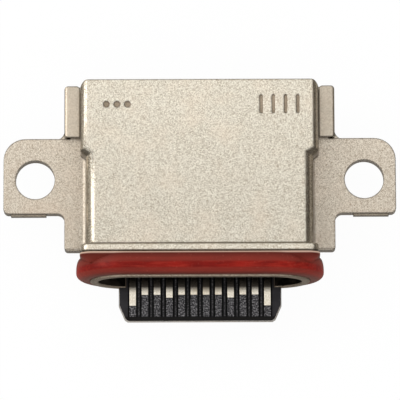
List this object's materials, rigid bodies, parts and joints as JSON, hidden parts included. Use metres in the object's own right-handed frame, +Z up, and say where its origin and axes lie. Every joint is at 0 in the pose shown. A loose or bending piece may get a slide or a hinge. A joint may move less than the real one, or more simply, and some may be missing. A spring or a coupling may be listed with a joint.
{
  "type": "charging port connector",
  "caption": "Sealed metal charging receptacle with screw ears, a rubber mouth ring and a reversible contact tongue.",
  "frame": {"origin": "midway between the two ear holes, on the board side of the ears", "axes": "+X along the ear holes, +Y into the port the way a plug is pushed, +Z up away from the board"},
  "size_m": [0.0162, 0.01, 0.0043],
  "materials": {
    "cover_nickel": "blasted nickel plating",
    "pan_nickel": "blasted nickel plating",
    "tube_nickel": "satin nickel plating",
    "plate_steel": "plain stainless sheet",
    "seal_rubber": "satin dark red silicone",
    "tongue_plastic": "filled black moulding",
    "contact_plating": "pale gold plating",
    "sealant_resin": "dark potting resin"
  },
  "bodies": {
    "root": {"inner_shell": "tube_nickel", "cover_shell": "cover_nickel", "lower_shell": "pan_nickel", "seal_ring": "seal_rubber", "upper_insulator": "tongue_plastic", "lower_insulator": "tongue_plastic", "mid_plate": "plate_steel", "upper_ground_plate": "plate_steel", "lower_ground_plate": "plate_steel", "rear_sealant": "sealant_resin", "upper_contact_1": "contact_plating", "upper_contact_2": "contact_plating", "upper_contact_3": "contact_plating", "upper_contact_4": "contact_plating", "upper_contact_5": "contact_plating", "upper_contact_6": "contact_plating", "upper_contact_7": "contact_plating", "upper_contact_8": "contact_plating", "upper_contact_9": "contact_plating", "upper_contact_10": "contact_plating", "upper_contact_11": "contact_plating", "upper_contact_12": "contact_plating", "lower_contact_1": "contact_plating", "lower_contact_2": "contact_plating", "lower_contact_3": "contact_plating", "lower_contact_4": "contact_plating", "lower_contact_5": "contact_plating", "lower_contact_6": "contact_plating", "lower_contact_7": "contact_plating", "lower_contact_8": "contact_plating", "lower_contact_9": "contact_plating", "lower_contact_10": "contact_plating", "lower_contact_11": "contact_plating", "lower_contact_12": "contact_plating"}
  },
  "joints": []
}
